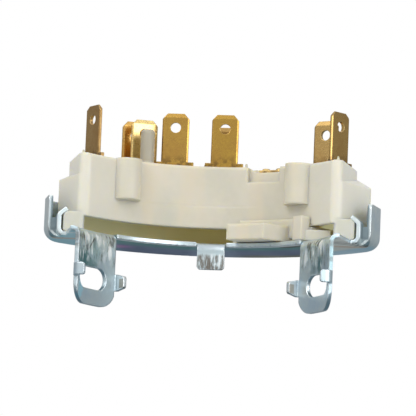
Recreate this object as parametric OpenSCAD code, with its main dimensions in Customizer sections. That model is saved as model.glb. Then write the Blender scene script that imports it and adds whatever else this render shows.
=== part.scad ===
// Neutral safety switch for a steering column.
// The origin is on the column's axis, at the height of the bracket plate's top face, and +Z points along the blades.
// A bearing is an angle in plan, measured from +Y and positive towards +X.

/* [Bracket sheet] */
// Thickness of the steel sheet
sheet_t = 0.95; // [0.8:0.05:1.1]
// Radius of the plate's inner edge and of the ears' inner faces
seat_r = 29.4; // [28:0.1:31]
// Depth of the plate from its inner edge to the rim's outer face
plate_depth = 20.6; // [20:0.1:21.4]
// Inside radius of the folds of the ears and the centre tab
fold_r = 0.9; // [0.6:0.1:1.2]
// Inside radius of the folds of the inner tabs on the ears
tab_fold_r = 0.3; // [0.2:0.05:0.5]
// Inside radius of the folds of the outer lugs on the ears
lug_fold_r = 0.9; // [0.8:0.05:1]
// Inside radius of the fold under the end walls
wall_fold_r = 2; // [1.6:0.1:2.2]

/* [Bracket ears] */
// Bearing of the middle of an ear
ear_bearing = 61.2; // [60.8:0.1:61.6]
// Width of an ear along its curve
ear_w = 15.2; // [14.6:0.1:15.6]
// How far an ear reaches below the plate's top face
ear_drop = 17.4; // [17:0.1:18.4]
// Corner radius of an ear on its outer side
ear_outer_corner_r = 4.8; // [3:0.1:5.2]
// Corner radius of an ear on its inner side
ear_inner_corner_r = 4.4; // [3.8:0.1:5]
// Width of the screw slot
screw_slot_w = 5.1; // [4.8:0.05:5.4]
// Length of the screw slot from end to end
screw_slot_l = 10.9; // [9.8:0.1:11.2]
// Depth of the slot's middle below the plate's top face
screw_slot_drop = 11.2; // [11:0.05:11.5]
// Distance of the slot's middle from the ear's middle, towards the outer side
screw_slot_shift = 0.6; // [0.4:0.1:0.9]
// How far the tab on an ear's inner edge points at the column
inner_tab_l = 2.7; // [2.2:0.1:3.2]
// Height of that tab at its root
inner_tab_h = 3.9; // [3.6:0.1:4.4]
// Height of that tab at its tip
inner_tab_tip_h = 2.9; // [2.4:0.1:3.4]
// Depth of that tab's middle below the plate's top face
inner_tab_drop = 11.3; // [10.8:0.1:11.8]
// How far the lug on an ear's outer edge points at the column
outer_lug_l = 2.2; // [1.8:0.1:2.6]
// Height of that lug
outer_lug_h = 2.8; // [2.4:0.1:3.2]
// Depth of that lug's middle below the plate's top face
outer_lug_drop = 10.1; // [9.8:0.1:10.6]

/* [Bracket tab and end walls] */
// Width of the centre tab
centre_tab_w = 6.4; // [5.6:0.1:7.2]
// How far the centre tab reaches below the plate's top face
centre_tab_drop = 6.35; // [5.6:0.05:7.6]
// Height of the end walls and the rim above the plate's top face
end_wall_h = 8.9; // [8:0.1:9.4]
// Angle in plan between an end wall and the Y axis
end_wall_turn = 13.7; // [13:0.1:14.4]
// How far an end wall's outer face lies outside the radius of the plate's inner edge
end_wall_out = 2.1; // [2:0.1:2.6]
// Outer radius of the corner where an end wall meets the rim
end_corner_r = 6; // [5.4:0.1:6.4]
// Width of a crimped claw
claw_w = 2.8; // [2.4:0.1:3]
// Length of an end claw's folded tip
end_claw_tip_l = 1.9; // [1.4:0.1:2.2]
// Angle through which an end claw's tip is folded
end_claw_turn = 50; // [44:1:56]
// Length of a back claw's folded tip
back_claw_tip_l = 1; // [0.8:0.1:1.1]
// Distance between an end claw's outer face and the end wall's outer face
claw_inset = 1.7; // [1.5:0.1:1.9]
// How far below the foot's top an end claw starts to bend
claw_drop = 1.2; // [1.1:0.05:1.3]
// Height of the sheet that joins an end claw to the end wall
claw_web_h = 3.5; // [3.2:0.1:3.7]
// Bearing of the claws at the back
back_claw_bearing = 21; // [18:0.5:24]

/* [Housing] */
// Distance of the concave wall from the plate's inner edge
wall_setback = 3.9; // [3.8:0.1:4.1]
// Gap between the back wall and the rim's outer face
back_gap = 1.4; // [1.3:0.1:1.6]
// Height of the housing
housing_h = 18.6; // [18.2:0.1:20]
// Thickness of the roof
roof_t = 2.6; // [2.5:0.1:3]
// Thickness of the walls
wall_t = 1.7; // [1.5:0.1:1.8]
// Rounding of the roof's long edges
edge_r = 0.6; // [0.3:0.1:0.8]
// Height of the window that the carrier looks out of
window_h = 3.9; // [3.8:0.1:4.2]
// Bearing where the window ends on either side
window_bearing = 58; // [57.6:0.1:58.4]
// How far the housing's front corners lie outside the radius of the plate's inner edge
end_corner_out = 0.9; // [0.7:0.1:1.2]
// Distance of the housing's front corner from the column's axis, along Y
end_corner_y = 18; // [17.8:0.1:18.4]
// Rounding in plan of the front corners
front_corner_r = 1.5; // [1.2:0.1:1.7]
// Angle in plan of the upper end face on the left
left_upper_turn = 15.3; // [14:0.1:15.8]
// Angle in plan of the upper end face on the right
right_upper_turn = 10.1; // [9.6:0.1:12]
// Angle in plan of the lower end face on the left
left_lower_turn = 26.7; // [25:0.1:27.4]
// Angle in plan of the lower end face on the right
right_lower_turn = 28.9; // [26:0.1:29.4]
// Height of the lower end faces
lower_end_h = 13.7; // [13:0.1:14.4]
// Slope of the shoulder over the lower end faces
shoulder_slope = 27; // [20:1:32]
// Height of the feet that the claws hold
foot_h = 4.8; // [4.6:0.1:5.2]
// Bearing of the half-round ribs
rib_bearing = 36.9; // [36:0.1:37.5]
// Radius of the half-round ribs
rib_r = 3.25; // [2.8:0.05:3.4]
// Height of the ribs' lower ends
rib_foot_z = 9; // [8:0.1:10]
// Height of the shallow swelling along the foot of the concave wall
band_h = 9; // [8.4:0.1:9.4]
// How far that swelling stands out at its middle
band_t = 0.25; // [0.15:0.05:0.3]
// Bearing of the swelling's left end
band_left = -29; // [-30:0.5:-26]
// Bearing of the swelling's right end
band_right = 18; // [14:0.5:19]
// Depth of the notch in the roof
notch_depth = 1.35; // [1.2:0.05:1.5]
// Bearing where the notch is full depth on the left
notch_left = 17; // [15.5:0.1:17.2]
// Bearing of the notch's right side
notch_right = 27.4; // [27:0.1:27.8]
// Slope of the ramp at the notch's left side
notch_slope = 28; // [24:1:34]
// Height of the pocket's floor in the wall below the notch
pocket_z = 14.9; // [14.6:0.1:15.2]
// Depth of that pocket at its left side
pocket_left_depth = 1.3; // [1.1:0.05:1.35]
// Depth of that pocket at its right side
pocket_right_depth = 0.45; // [0.35:0.05:0.8]
// Width of the locating post
post_w = 3.3; // [2.8:0.1:3.8]
// Height of the locating post above the roof
post_h = 8.3; // [7.4:0.1:9]

/* [Terminals] */
// Width of a blade
blade_w = 6.35; // [6.2:0.05:6.4]
// Thickness of a blade
blade_t = 0.81; // [0.76:0.01:0.84]
// Diameter of the latch hole in a blade
blade_hole_d = 2.45; // [2:0.05:2.7]
// Distance of the latch hole's middle from the tip
blade_hole_drop = 3.4; // [3:0.1:3.8]
// Width of the bevel along a blade's edges
blade_bevel = 0.35; // [0.2:0.05:0.5]
// Length of the front row's blades above the roof
front_blade_l = 12.7; // [11.5:0.1:13.5]
// Length of the back row's blades above the roof
back_blade_l = 11.3; // [10.5:0.1:12.5]
// Width of a blade's shoulders
shoulder_w = 9; // [8:0.1:9.4]
// Width of a blade's shank inside the roof
shank_w = 2.6; // [2:0.1:2.8]
// Height of a blade's shoulders above the roof
shoulder_h = 1.1; // [0.8:0.1:1.4]
// Thickness of the contact plates under the roof
contact_t = 0.6; // [0.5:0.05:0.7]
// Distance of the inner wiping path from the cavity's concave side
inner_path_step = 3; // [2.9:0.05:3.2]
// Distance of the outer wiping path from the cavity's back side
outer_path_step = 3.3; // [3.1:0.05:3.4]

/* [Terminal places] */
// Bearing of the start feed blade
start_feed_bearing = 46.3; // [46:0.1:46.8]
// Distance of the start feed blade outside the inner path
start_feed_out = 2.1; // [1.9:0.05:2.3]
// Bearing of the start relay blade
start_relay_bearing = 38.9; // [38.4:0.1:39.4]
// Distance of the start relay blade inside the outer path
start_relay_in = 2.5; // [2.3:0.05:2.7]
// Bearing of the backup feed blade
backup_feed_bearing = 2.9; // [2.4:0.1:3.4]
// Distance of the backup feed blade inside the inner path
backup_feed_in = 2.35; // [2.2:0.05:2.45]
// Bearing of the backup lamp blade
backup_lamp_bearing = 1.5; // [1.2:0.1:2]
// Distance of the backup lamp blade outside the outer path
backup_lamp_out = 1.7; // [1.5:0.05:1.9]
// Bearing of the drive feed blade
drive_feed_bearing = -15.6; // [-16:0.1:-15.2]
// Distance of the drive feed blade inside the inner path
drive_feed_in = 1.15; // [1:0.05:1.3]
// Bearing of the drive signal blade
drive_signal_bearing = -24.9; // [-25.3:0.1:-24.5]
// Distance of the drive signal blade inside the outer path
drive_signal_in = 2.05; // [1.9:0.05:2.2]
// Bearing of the low feed blade
low_feed_bearing = -46; // [-46.4:0.1:-45.6]
// Distance of the low feed blade outside the inner path
low_feed_out = 1.6; // [1.5:0.05:1.8]
// Bearing of the low signal blade
low_signal_bearing = -26.1; // [-26.5:0.1:-25.7]
// Distance of the low signal blade outside the outer path
low_signal_out = 1.85; // [1.7:0.05:2]

/* [Carrier] */
// Travel of the carrier from park to low gear, in degrees
carrier_travel = 36; // [34:1:36]
// Play between the carrier's sole and the window's top
sole_play = 0.3; // [0.2:0.05:0.5]
// Running clearance under and beside the carrier
running_gap = 0.15; // [0.1:0.05:0.25]
// How far the drive lug reaches in from the plate's inner edge
lug_reach = 4.4; // [4:0.1:4.8]
// Height of the drive lug's top face
lug_top_z = 3.9; // [3.7:0.05:4]
// Bearing where the carrier and its drive lug start
lug_start = 8.4; // [8:0.1:9]
// Bearing of the drive lug's nose
lug_nose = 30; // [28:0.5:31]
// Height of the guide lip in front of the concave wall
lip_h = 5.7; // [5.2:0.1:5.8]
// Height of the pillar at the end of the lip
pillar_h = 5.9; // [5.8:0.1:6.2]
// Bearing of the pillar's left side
pillar_left = 39.4; // [38.2:0.1:40]
// Bearing of the pillar's right side
pillar_right = 44.6; // [44:0.1:44.8]
// Height of the arm's top face
arm_h = 2.75; // [2.5:0.05:3]
// Bearing of the start bridge at rest
start_bridge_bearing = 39.5; // [39:0.5:40]
// Bearing of the selector bridge at rest
selector_bridge_bearing = 9.5; // [9.5:0.5:11]
// Play between the towers' tops and the ceiling
tower_play = 0.8; // [0.6:0.1:1.2]
// Width of the towers
tower_w = 5.2; // [4.8:0.1:5.3]

/* [Bridges and springs] */
// Width of a bridge strip
bridge_w = 3.4; // [3:0.1:3.6]
// Thickness of a bridge strip
bridge_t = 0.8; // [0.6:0.1:1]
// Diameter of a contact button
button_d = 2; // [1.8:0.1:2.2]
// Height of a contact button above its strip
button_h = 1.4; // [1.3:0.1:1.5]
// Outer diameter of a bridge spring
spring_d = 3.2; // [2.8:0.1:3.3]
// Wire diameter of a bridge spring
spring_wire_d = 0.5; // [0.4:0.05:0.6]
// Number of turns of a bridge spring
spring_turns = 6; // [4:1:8]

/* [Feed link] */
// Distance of the link's rivets from the concave wall
link_setback = 3.4; // [3.3:0.05:3.5]
// Bearing of the left rivet
link_left = 18.9; // [18.6:0.1:19]
// Bearing of the right rivet
link_right = 24.4; // [24:0.1:24.6]
// Width of the feed link
link_w = 2.6; // [2.2:0.1:2.8]
// Thickness of the feed link
link_t = 0.8; // [0.6:0.1:0.9]
// Diameter of a rivet's head
rivet_head_d = 2.4; // [2.2:0.1:2.6]
// Height of a rivet's head above the link
rivet_head_h = 0.5; // [0.5:0.05:0.8]
// Diameter of a rivet's shank
rivet_d = 1.3; // [1.1:0.1:1.5]

/* [Hidden] */
$fn = 64;

// Colours of the finishes
zinc = "#9fabb0";
nylon = "#ddd7c7";
brass = "#b39143";
bronze = "#b4813f";
silver = "#c9cbcc";
steel_wire = "#8c9093";

// Fine gap round what is moulded in or pushed in
fit_gap = 0.04;
// Overlap of cutting solids beyond the faces that they cut
over = 1;
// Reach of masks that are larger than the part
far = 80;

plate_r = seat_r + plate_depth;
end_wall_reach = seat_r + end_wall_out;
end_corner_x = seat_r + end_corner_out;
wall_r = seat_r + wall_setback;
back_r = plate_r - back_gap;
ceiling_z = housing_h - roof_t;
notch_z = housing_h - notch_depth;
cavity_in_r = wall_r + wall_t;
cavity_out_r = back_r - wall_t;
wall_fold_out = wall_fold_r + sheet_t;
fold_out = fold_r + sheet_t;
inner_path_r = cavity_in_r + inner_path_step;
outer_path_r = cavity_out_r - outer_path_step;
front_tip_z = housing_h + front_blade_l;
back_tip_z = housing_h + back_blade_l;

// Half angles of the ears and the centre tab
ear_half = ear_w / 2 / seat_r * 180 / PI;
tab_half = asin(centre_tab_w / 2 / seat_r);

// A point beside the right end wall: out along its normal and along the wall
function end_point(out, along) = [
    out * cos(end_wall_turn) + along * sin(end_wall_turn),
    -out * sin(end_wall_turn) + along * cos(end_wall_turn)];
function polar(r, bearing) = [r * sin(bearing), r * cos(bearing)];

// Centre of the corner arc, which touches the end wall inside and the rim inside
corner_out = end_wall_reach - end_corner_r;
corner_along = sqrt(pow(plate_r - end_corner_r, 2) - pow(corner_out, 2));
corner_centre = end_point(corner_out, corner_along);
corner_bearing = atan2(corner_centre[0], corner_centre[1]);

// Distance from the column's axis of an end face that passes the front corner at an angle
function end_reach(turn) = end_corner_x * cos(turn) - end_corner_y * sin(turn);
end_wall_t = 1.8;
end_bearing = 62;
upper_back_r = 2;
lower_back_r = 3.2;

// Lever positions, as turns of the carrier from park
turn_reverse = 9;
turn_neutral = 16;
turn_drive = 23;
turn_low = carrier_travel;

// Contact plates: radii of the pads and of the narrow rails that join them
inner_pad_in = inner_path_r - 2.8;
inner_pad_out = inner_path_r + 1.4;
outer_pad_in = outer_path_r - 1.6;
outer_pad_out = outer_path_r + 2.7;
rail_w = 1;
step = 0.06;
pad_half = 2.5;
neutral_pad = start_bridge_bearing - turn_neutral;
reverse_pad = selector_bridge_bearing - turn_reverse;
drive_pad = selector_bridge_bearing - turn_drive;
low_pad = selector_bridge_bearing - turn_low;

// Radii in plan on which the blades stand, and how they are turned from the X axis
start_feed_r = inner_path_r + start_feed_out;
start_feed_turn = 52.5;
start_relay_r = outer_path_r - start_relay_in;
start_relay_turn = -28;
backup_feed_r = inner_path_r - backup_feed_in;
backup_lamp_r = outer_path_r + backup_lamp_out;
drive_feed_r = inner_path_r - drive_feed_in;
drive_signal_r = outer_path_r - drive_signal_in;
drive_signal_turn = 21;
low_feed_r = inner_path_r + low_feed_out;
low_feed_turn = -53;
low_signal_r = outer_path_r + low_signal_out;
low_signal_turn = 25;
post_bearing = -26.1;
post_out = 3.5;

// Root under a blade: half its angle, and how far it reaches past the blade's middle
root_half = 1.4;
root_reach = 1.2;

// Each contact plate is a row of ring parts: inner radius, outer radius, first and last bearing
start_feed_plates = [
    [inner_pad_in, inner_pad_out, start_bridge_bearing - pad_half, start_feed_bearing + root_half],
    [inner_pad_in, inner_pad_out, neutral_pad - pad_half, neutral_pad + pad_half + 0.6],
    [inner_pad_in + step, inner_pad_in + rail_w, neutral_pad + pad_half, start_bridge_bearing],
    [inner_pad_in + 2 * step, start_feed_r + root_reach,
        start_feed_bearing - root_half, start_feed_bearing + root_half + 0.2]];
start_relay_plates = [
    [start_relay_r - root_reach, outer_pad_out,
        start_relay_bearing - 2 * root_half, start_relay_bearing + 3.2 * root_half],
    [outer_pad_in, outer_pad_out, neutral_pad - pad_half, neutral_pad + pad_half],
    [outer_pad_out - rail_w, outer_pad_out - step, neutral_pad, start_relay_bearing]];
backup_feed_plates = [
    [inner_pad_in, inner_pad_out, reverse_pad - pad_half, backup_feed_bearing + 2 * root_half],
    [backup_feed_r - root_reach, inner_pad_out - step, backup_feed_bearing - 2.2, backup_feed_bearing + 2.2]];
backup_lamp_plates = [
    [outer_pad_in, outer_pad_out, reverse_pad - pad_half, reverse_pad + 1.2],
    [outer_pad_out - rail_w - 0.4, backup_lamp_r + root_reach, reverse_pad, backup_lamp_bearing + 2 * root_half]];
drive_feed_plates = [
    [inner_pad_in, inner_pad_out, drive_feed_bearing - 1.6 * root_half, drive_pad + pad_half]];
drive_signal_plates = [
    [drive_signal_r - 0.6, outer_pad_out, drive_pad - pad_half, drive_pad + pad_half],
    [drive_signal_r - 0.6 + step, drive_signal_r + 0.5, drive_signal_bearing - root_half, drive_pad],
    [drive_signal_r - 0.6 + 2 * step, drive_signal_r + root_reach - 0.3,
        drive_signal_bearing - 2.5, drive_signal_bearing + 2.5]];
low_feed_plates = [
    [inner_pad_in, inner_pad_out, low_pad - pad_half, low_pad + pad_half],
    [inner_pad_in + step, inner_pad_in + rail_w, low_feed_bearing, low_pad],
    [inner_pad_in + 2 * step, low_feed_r + root_reach + 0.2,
        low_feed_bearing - root_half, low_feed_bearing + root_half]];
low_signal_plates = [
    [outer_pad_in + 1, low_signal_r + root_reach - 0.4, low_pad - pad_half, low_pad + pad_half]];

// Carrier: radii of the sole and the lip, and heights inside the housing
sole_in_r = wall_r - 0.1;
sole_out_r = cavity_out_r - 0.4;
sole_h = window_h - running_gap - sole_play;
sole_end = 45;
lip_out_r = wall_r - 0.5;
lip_in_r = lip_out_r - 0.7;
lip_start = lug_start + 3;
lip_end = sole_end - 0.3;
pillar_in_r = lip_out_r - 2.6;
arm_w = 1.7;
arm_l = 6;
lug_r = seat_r - lug_reach;
lug_back_start = lug_start + 2.6;
lug_bottom_z = running_gap + 0.1;
flank_bearing = lug_nose + 5.2;
tower_h = ceiling_z - tower_play;
tower_in_r = cavity_in_r + 1.2;
tower_out_r = outer_path_r + 2.2;
spring_at = (inner_path_r + outer_path_r) / 2;
button_top_z = ceiling_z - 0.05;
strip_top_z = button_top_z - button_h;
strip_z = strip_top_z - bridge_t;
spring_foot_z = 5;
strip_in_r = inner_path_r - 1.4;
strip_out_r = outer_path_r + 1.4;
link_r = wall_r + link_setback;
link_out_r = link_r + link_w / 2;
link_top_z = notch_z + link_t;

// Where the end claw and the end wall lie along the wall's line
claw_along = 25.4;
notch_gap = 0.25;
wall_along = claw_along + claw_w + notch_gap;

// Sweeps a profile of radius and height through a range of bearings
module sweep_bearings(from, to) {
    rotate([0, 0, 90 - to]) rotate_extrude(angle = to - from, $fn = 180) children();
}

// Part of a ring with a rectangular section
module ring_part(r1, r2, z1, z2, from, to) {
    sweep_bearings(from, to) translate([r1, z1]) square([r2 - r1, z2 - z1]);
}

// Puts its children on both sides of the middle plane
module both_sides() {
    for (side = [0, 1]) mirror([side, 0, 0]) children();
}

// Section of a sheet that folds up from the plate, with the wall's outer face at x = 0
module fold_up_section(out_r, h, inset = 0, root = 0.5) {
    t = sheet_t - 2 * inset;
    intersection() {
        translate([-out_r, out_r - sheet_t]) difference() {
            circle(out_r - inset);
            circle(out_r - sheet_t + inset);
        }
        translate([-out_r, -sheet_t]) square(out_r);
    }
    translate([-inset - t, out_r - sheet_t]) square([t, h - inset - out_r + sheet_t]);
    translate([-out_r - root, inset - sheet_t]) square([root, t]);
}

// Section of a sheet that folds down from the plate's inner edge, with the wall's inner face at x = 0
module fold_down_section(drop) {
    intersection() {
        translate([fold_out, -fold_out]) difference() {
            circle(fold_out);
            circle(fold_r);
        }
        translate([0, -fold_out]) square(fold_out);
    }
    translate([0, -drop]) square([sheet_t, drop - fold_out]);
    translate([fold_out, -sheet_t]) square([0.44, sheet_t]);
}

// Folded tip of a claw whose outer face is at x = 0: it bends inward above bend_z by a turn, then runs straight
module claw_tip_section(bend_z, turn, tip_l, t) {
    tip_in_r = 0.4;
    translate([-t - tip_in_r, bend_z]) {
        intersection() {
            difference() {
                circle(tip_in_r + t);
                circle(tip_in_r);
            }
            square(far);
            rotate(turn - 90) square(far);
        }
        rotate(turn) translate([tip_in_r, 0]) square([t, tip_l]);
    }
}

// Stands a section on the right end wall's line, from one place along it to another
module along_end_wall(out, from, to) {
    rotate([0, 0, -end_wall_turn]) translate([out, to, 0]) rotate([90, 0, 0]) linear_extrude(to - from) children();
}

// Flat part of the plate, seen from above
module plate_outline() {
    relief = 0.6;
    lap = 0.25;
    claw_root = end_wall_reach - claw_inset - fold_out - lap;
    wall_root = end_wall_reach - wall_fold_out - lap;
    difference() {
        union() {
            difference() {
                circle(plate_r - wall_fold_out - lap, $fn = 180);
                both_sides() polygon([[0, 0], polar(far, corner_bearing), [far, 0], [far, -far], [0, -far]]);
            }
            both_sides() translate(corner_centre) circle(end_corner_r - wall_fold_out - lap - step);
            both_sides() polygon([[0, 0], polar(seat_r + fold_out, ear_bearing + ear_half),
                end_point(claw_root, claw_along), end_point(claw_root, wall_along),
                end_point(wall_root, wall_along + 2), end_point(wall_root, corner_along),
                polar(norm(corner_centre), corner_bearing - 1)]);
        }
        circle(seat_r, $fn = 180);
        both_sides() intersection() {
            circle(seat_r + fold_out + lap, $fn = 180);
            polygon([[0, 0], polar(far, ear_bearing - ear_half - relief), polar(far, ear_bearing + ear_half + 4)]);
        }
        intersection() {
            circle(seat_r + fold_out + lap, $fn = 180);
            polygon([[0, 0], polar(far, -tab_half - relief), polar(far, tab_half + relief)]);
        }
    }
}

// Cut that rounds a corner whose sides run along +x and +y from the origin
module corner_cut(r, h) {
    lap = 0.03;
    difference() {
        translate([-over, -over, 0]) cube([over + r - lap, over + r - lap, h]);
        translate([r - lap, r - lap, -over]) cylinder(r = r, h = h + 2 * over);
    }
}

// Right ear: folded down, curved to the column, slotted, with a tab and a lug that point at the column
module ear() {
    reach = 4 * sheet_t;
    ear_half_w = (seat_r + sheet_t) * sin(ear_half);
    slot_span = screw_slot_l - screw_slot_w;
    sweep_bearings(ear_bearing - ear_half, ear_bearing + ear_half)
        translate([seat_r, 0]) fold_down_section(fold_out + 0.3);
    difference() {
        ring_part(seat_r, seat_r + sheet_t, -ear_drop, -fold_out - 0.2, ear_bearing - ear_half, ear_bearing + ear_half);
        rotate([0, 0, -ear_bearing]) translate([0, seat_r - reach, 0]) rotate([-90, 0, 0]) {
            for (end = [-1, 1]) translate([screw_slot_shift + end * slot_span / 2, screw_slot_drop, 0])
                cylinder(d = screw_slot_w, h = 2 * reach);
            translate([screw_slot_shift - slot_span / 2, screw_slot_drop - screw_slot_w / 2 + 0.02, 0])
                cube([slot_span, screw_slot_w - 0.04, 2 * reach]);
            translate([-ear_half_w, ear_drop, 0]) mirror([0, 1, 0]) corner_cut(ear_inner_corner_r, 2 * reach);
            translate([ear_half_w, ear_drop, 0]) rotate([0, 0, 180]) corner_cut(ear_outer_corner_r, 2 * reach);
        }
    }
    translate([0, 0, -inner_tab_drop]) edge_tab(ear_bearing - ear_half, 1, tab_fold_r, inner_tab_l, inner_tab_h, inner_tab_tip_h);
    translate([0, 0, -outer_lug_drop]) edge_tab(ear_bearing + ear_half, -1, lug_fold_r, outer_lug_l, outer_lug_h, outer_lug_h);
}

// Tab on an ear's edge, folded to point at the column and narrowing from h to tip_h
// turn is 1 on the ear's inner edge and -1 on its outer edge
module edge_tab(bearing, turn, in_r, l, h, tip_h) {
    out_r = in_r + sheet_t;
    corner_r = 0.6;
    root_l = sheet_t + 0.2;
    rotate([0, 0, -bearing]) translate([0, seat_r, 0]) mirror([turn > 0 ? 1 : 0, 0, 0]) intersection() {
        translate([out_r, 0, -h / 2]) linear_extrude(h) mirror([0, 1]) fold_up_section(out_r, l, 0.01, 0.4);
        translate([-over, 0, 0]) rotate([0, 90, 0]) linear_extrude(out_r + 2 * over) union() {
            polygon([[-h / 2, root_l], [-h / 2, 0], [-tip_h / 2, corner_r - l], [corner_r - tip_h / 2, -l],
                [tip_h / 2 - corner_r, -l], [tip_h / 2, corner_r - l], [h / 2, 0], [h / 2, root_l]]);
            for (end = [-1, 1]) translate([end * (tip_h / 2 - corner_r - 0.01), corner_r + 0.01 - l]) circle(corner_r);
        }
    }
}

// Centre tab, folded down over the middle of the inner edge
module centre_tab() {
    corner_r = 0.8;
    intersection() {
        sweep_bearings(-tab_half, tab_half) translate([seat_r, 0]) fold_down_section(centre_tab_drop);
        translate([0, seat_r + fold_out + over, 0]) rotate([90, 0, 0]) linear_extrude(fold_out + 3 * over) union() {
            translate([-centre_tab_w / 2, corner_r - centre_tab_drop]) square([centre_tab_w, centre_tab_drop]);
            translate([corner_r - centre_tab_w / 2, -centre_tab_drop]) square([centre_tab_w - 2 * corner_r, over]);
            for (end = [-1, 1]) translate([end * (centre_tab_w / 2 - corner_r), corner_r - centre_tab_drop])
                circle(corner_r);
        }
    }
}

// Right end: the wall and its corner, the claw that holds the foot, and the low web between them
module end_walls() {
    top_r = 1.2;
    lap = 0.15;
    claw_out = end_wall_reach - claw_inset;
    foot_hold = foot_h - claw_drop;
    web_from = [claw_out - 0.02, claw_along + claw_w - 0.5];
    web_to = [end_wall_reach - 0.02, wall_along + 0.5];
    web_turn = atan2(web_to[0] - web_from[0], web_to[1] - web_from[1]);
    difference() {
        along_end_wall(end_wall_reach, wall_along, corner_along + lap) fold_up_section(wall_fold_out, end_wall_h);
        rotate([0, 0, -end_wall_turn]) translate([end_wall_reach - 2 * sheet_t, wall_along - over, end_wall_h - top_r])
            difference() {
                cube([3 * sheet_t, over + top_r, over + top_r]);
                translate([-over, over + top_r, 0]) rotate([0, 90, 0]) cylinder(r = top_r, h = 5 * sheet_t);
            }
    }
    translate(corner_centre) rotate([0, 0, -end_wall_turn])
        rotate_extrude(angle = 90 - corner_bearing + end_wall_turn, $fn = 64)
            translate([end_corner_r, 0]) fold_up_section(wall_fold_out, end_wall_h, 0.01);
    along_end_wall(claw_out, claw_along, claw_along + claw_w) union() {
        fold_up_section(fold_out, foot_hold);
        claw_tip_section(foot_hold, end_claw_turn, end_claw_tip_l, sheet_t);
    }
    rotate([0, 0, -end_wall_turn]) translate(web_to) rotate([0, 0, -web_turn]) rotate([90, 0, 0])
        linear_extrude(norm(web_to - web_from)) fold_up_section((wall_fold_out + fold_out) / 2, claw_web_h, 0.015, 1);
}

// Rim behind the housing, from one end's corner to the other's
module rim() {
    lap_angle = asin(0.15 / plate_r);
    sweep_bearings(-corner_bearing - lap_angle, corner_bearing + lap_angle)
        translate([plate_r, 0]) fold_up_section(wall_fold_out, end_wall_h);
}

// Claw on the rim's top edge, folded into a pocket of the back wall
module back_claw() {
    bend_z = end_wall_h + 0.3;
    half = asin(claw_w / 2 / plate_r);
    sweep_bearings(back_claw_bearing - half, back_claw_bearing + half) translate([plate_r - 0.02, 0]) union() {
        translate([0.04 - sheet_t, end_wall_h - 0.5]) square([sheet_t - 0.04, bend_z - end_wall_h + 0.5]);
        claw_tip_section(bend_z, 90, back_claw_tip_l, sheet_t - 0.04);
    }
}

module bracket() {
    color(zinc) {
        translate([0, 0, -sheet_t]) linear_extrude(sheet_t) plate_outline();
        both_sides() ear();
        both_sides() end_walls();
        rim();
        both_sides() back_claw();
        centre_tab();
    }
}
bracket();

// Right half of the plan inside an end face that stands at an angle and a distance
module inside_end(turn, reach) {
    near = [reach * cos(turn), -reach * sin(turn)];
    distant = near + far * [sin(turn), cos(turn)];
    polygon([[-over, near[1]], near, distant, [-over, distant[1]]]);
}

// Right half of the body's plan for one angle of its end face, with rounded corners
module half_outline(turn, back_corner_r) {
    lap = 0.03;
    reach = end_reach(turn);
    out = [cos(turn), -sin(turn)];
    front_y = end_corner_y + front_corner_r;
    front = [(reach - front_corner_r + front_y * sin(turn)) / cos(turn), front_y];
    inner_front = [sqrt(pow(wall_r + front_corner_r - lap, 2) - pow(front_y, 2)), front_y];
    back_in = reach - back_corner_r;
    back = back_in * out + sqrt(pow(back_r - back_corner_r, 2) - pow(back_in, 2)) * [sin(turn), cos(turn)];
    difference() {
        union() {
            intersection() {
                circle(back_r, $fn = 180);
                polygon([[-over, 0], [0, 0], inner_front, front + [0, lap], front + front_corner_r * out,
                    back + back_corner_r * out, back, back * 2, [-over, far]]);
            }
            translate(front) circle(front_corner_r);
            translate(inner_front) circle(front_corner_r);
            translate([min(front[0], inner_front[0]), end_corner_y])
                square([abs(front[0] - inner_front[0]) + 0.001, front_corner_r]);
            translate(back) circle(back_corner_r);
        }
        circle(wall_r, $fn = 180);
        translate([-far, -far]) square([far - 0.1, 2 * far]);
    }
}

// Right half of the solid body: the full plan up to the shoulder, and the narrower plan above it
module half_body(upper_turn, lower_turn) {
    foot_reach = end_wall_reach - claw_inset - sheet_t - 0.5;
    foot_along = (end_corner_y + foot_reach * sin(end_wall_turn)) / cos(end_wall_turn);
    linear_extrude(housing_h) half_outline(upper_turn, upper_back_r);
    intersection() {
        linear_extrude(housing_h) half_outline(lower_turn, lower_back_r);
        rotate([0, 0, -lower_turn]) translate([end_reach(lower_turn), 0, lower_end_h])
            rotate([0, shoulder_slope, 0]) translate([-far / 2, -far / 2, -far]) cube([far, 1.5 * far, far]);
        translate([end_corner_x / 2, 0, -over]) cube([far, far, far]);
    }
    linear_extrude(foot_h) polygon([[end_corner_x - 2.2, end_corner_y], end_point(foot_reach, foot_along),
        end_point(foot_reach, wall_along), end_point(foot_reach - 4, wall_along + 1)]);
}

// Solid body of the housing
module housing_body() {
    half_body(right_upper_turn, right_lower_turn);
    mirror([1, 0, 0]) half_body(left_upper_turn, left_lower_turn);
}

// Inside of the housing that is open to the plate
module cavity() {
    translate([0, 0, -over]) linear_extrude(ceiling_z + over) intersection() {
        difference() {
            circle(cavity_out_r, $fn = 180);
            circle(cavity_in_r, $fn = 180);
        }
        union() {
            inside_end(right_upper_turn, end_reach(right_upper_turn) - end_wall_t);
            mirror([1, 0]) inside_end(left_upper_turn, end_reach(left_upper_turn) - end_wall_t);
        }
    }
    ring_part(wall_r - over, cavity_in_r + 0.01, -over, window_h, -window_bearing, window_bearing);
}

// Rounding along the roof's edge at a radius; side is 1 for the concave edge and -1 for the back edge
module roof_edge(r, side) {
    sweep_bearings(-end_bearing, end_bearing) translate([r, housing_h]) mirror([side > 0 ? 0 : 1, 0]) difference() {
        translate([-over, -edge_r]) square(over + edge_r);
        translate([edge_r, -edge_r]) circle(edge_r);
    }
}

// Wedge that chamfers a foot edge; it starts at x = 0
module chamfer_section(cut) {
    polygon([[0, -over], [0, 0], [cut, cut], [2 * cut, cut], [2 * cut, -over]]);
}

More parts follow.
